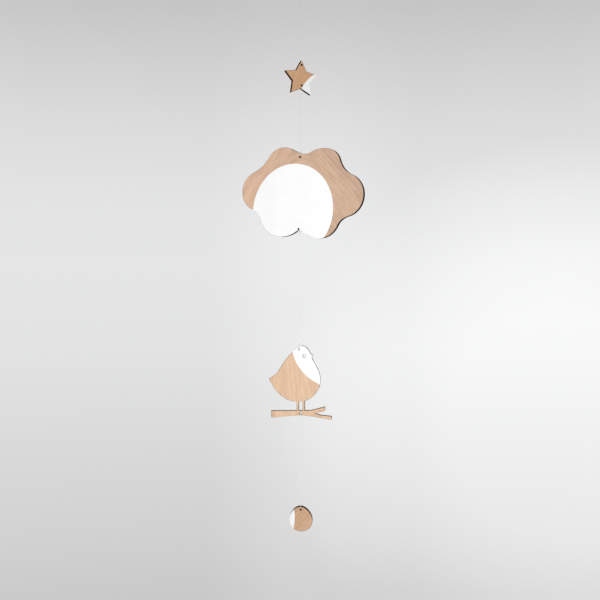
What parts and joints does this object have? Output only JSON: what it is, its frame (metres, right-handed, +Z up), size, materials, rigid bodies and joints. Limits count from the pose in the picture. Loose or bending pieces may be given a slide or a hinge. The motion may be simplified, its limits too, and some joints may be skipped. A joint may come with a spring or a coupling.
{
  "type": "crib mobile",
  "caption": "Hanging mobile of flat plywood figures, a star, a cloud, a bird on a branch and an egg, one under another on a thin thread from a small ceiling hook.",
  "frame": {"origin": "on the ceiling, on the axis of the hook's screw, where the collar meets the ceiling", "axes": "+Z up along the screw, +X to the right and -Y towards the viewer; the figures hang below the origin"},
  "size_m": [0.1528, 0.0898, 0.7267],
  "materials": {
    "star_wood": "matte",
    "cloud_wood": "matte",
    "bird_wood": "matte",
    "egg_wood": "matte",
    "white_paint": "matte",
    "thread": "satin",
    "hook_metal": "satin"
  },
  "bodies": {
    "hook": {"ceiling_hook": "hook_metal"},
    "star_line": {"hook_loop": "thread", "star_thread": "thread"},
    "star_hanger": {"star_top_tie": "thread"},
    "star": {"star_panel": "star_wood", "star_paint_front": "white_paint", "star_paint_back": "white_paint"},
    "cloud_line": {"star_lower_tie": "thread", "cloud_thread": "thread"},
    "cloud_hanger": {"cloud_top_tie": "thread"},
    "cloud": {"cloud_panel": "cloud_wood", "cloud_paint_front": "white_paint", "cloud_paint_back": "white_paint"},
    "bird_line": {"cloud_lower_tie": "thread", "bird_thread": "thread"},
    "bird_hanger": {"bird_top_tie": "thread"},
    "bird": {"bird_panel": "bird_wood", "bird_paint_front": "white_paint", "bird_paint_back": "white_paint"},
    "egg_line": {"bird_lower_tie": "thread", "egg_thread": "thread"},
    "egg_hanger": {"egg_top_tie": "thread"},
    "egg": {"egg_panel": "egg_wood", "egg_paint_front": "white_paint", "egg_paint_back": "white_paint"}
  },
  "joints": [
    {"name": "star_line_swing", "type": "hinge", "parent": "hook", "child": "star_line", "pos_m": [0, 0, -0.024], "axis": [1, 0, 0], "range_deg": [-15, 15]},
    {"name": "star_turn", "type": "hinge", "parent": "star_line", "child": "star_hanger", "pos_m": [0, 0, -0.1168], "axis": [0, 0, 1], "continuous": true},
    {"name": "star_rock", "type": "hinge", "parent": "star_hanger", "child": "star", "pos_m": [0, 0, -0.1265], "axis": [0.454, -0.891, 0], "range_deg": [-15, 15]},
    {"name": "cloud_line_swing", "type": "hinge", "parent": "star", "child": "cloud_line", "pos_m": [0, 0, -0.1524], "axis": [0.454, -0.891, 0], "range_deg": [-15, 15]},
    {"name": "cloud_turn", "type": "hinge", "parent": "cloud_line", "child": "cloud_hanger", "pos_m": [0, 0, -0.232], "axis": [0, 0, 1], "continuous": true},
    {"name": "cloud_rock", "type": "hinge", "parent": "cloud_hanger", "child": "cloud", "pos_m": [0, 0, -0.2414], "axis": [-0.497, -0.8678, 0], "range_deg": [-15, 15]},
    {"name": "bird_line_swing", "type": "hinge", "parent": "cloud", "child": "bird_line", "pos_m": [-0.002, 0.00114, -0.3314], "axis": [-0.497, -0.8678, 0], "range_deg": [-15, 15]},
    {"name": "bird_turn", "type": "hinge", "parent": "bird_line", "child": "bird_hanger", "pos_m": [-0.002, 0.00114, -0.473], "axis": [0, 0, 1], "continuous": true},
    {"name": "bird_rock", "type": "hinge", "parent": "bird_hanger", "child": "bird", "pos_m": [-0.002, 0.00114, -0.4816], "axis": [-0.1219, -0.9925, 0], "range_deg": [-15, 15]},
    {"name": "egg_line_swing", "type": "hinge", "parent": "bird", "child": "egg_line", "pos_m": [0.00009, 0.00089, -0.5614], "axis": [-0.1219, -0.9925, 0], "range_deg": [-15, 15]},
    {"name": "egg_turn", "type": "hinge", "parent": "egg_line", "child": "egg_hanger", "pos_m": [0.00009, 0.00089, -0.673], "axis": [0, 0, 1], "continuous": true},
    {"name": "egg_rock", "type": "hinge", "parent": "egg_hanger", "child": "egg", "pos_m": [-0.00009, -0.00111, -0.6807], "axis": [-0.0861, -0.9839, -0.1564], "range_deg": [-15, 15]}
  ]
}
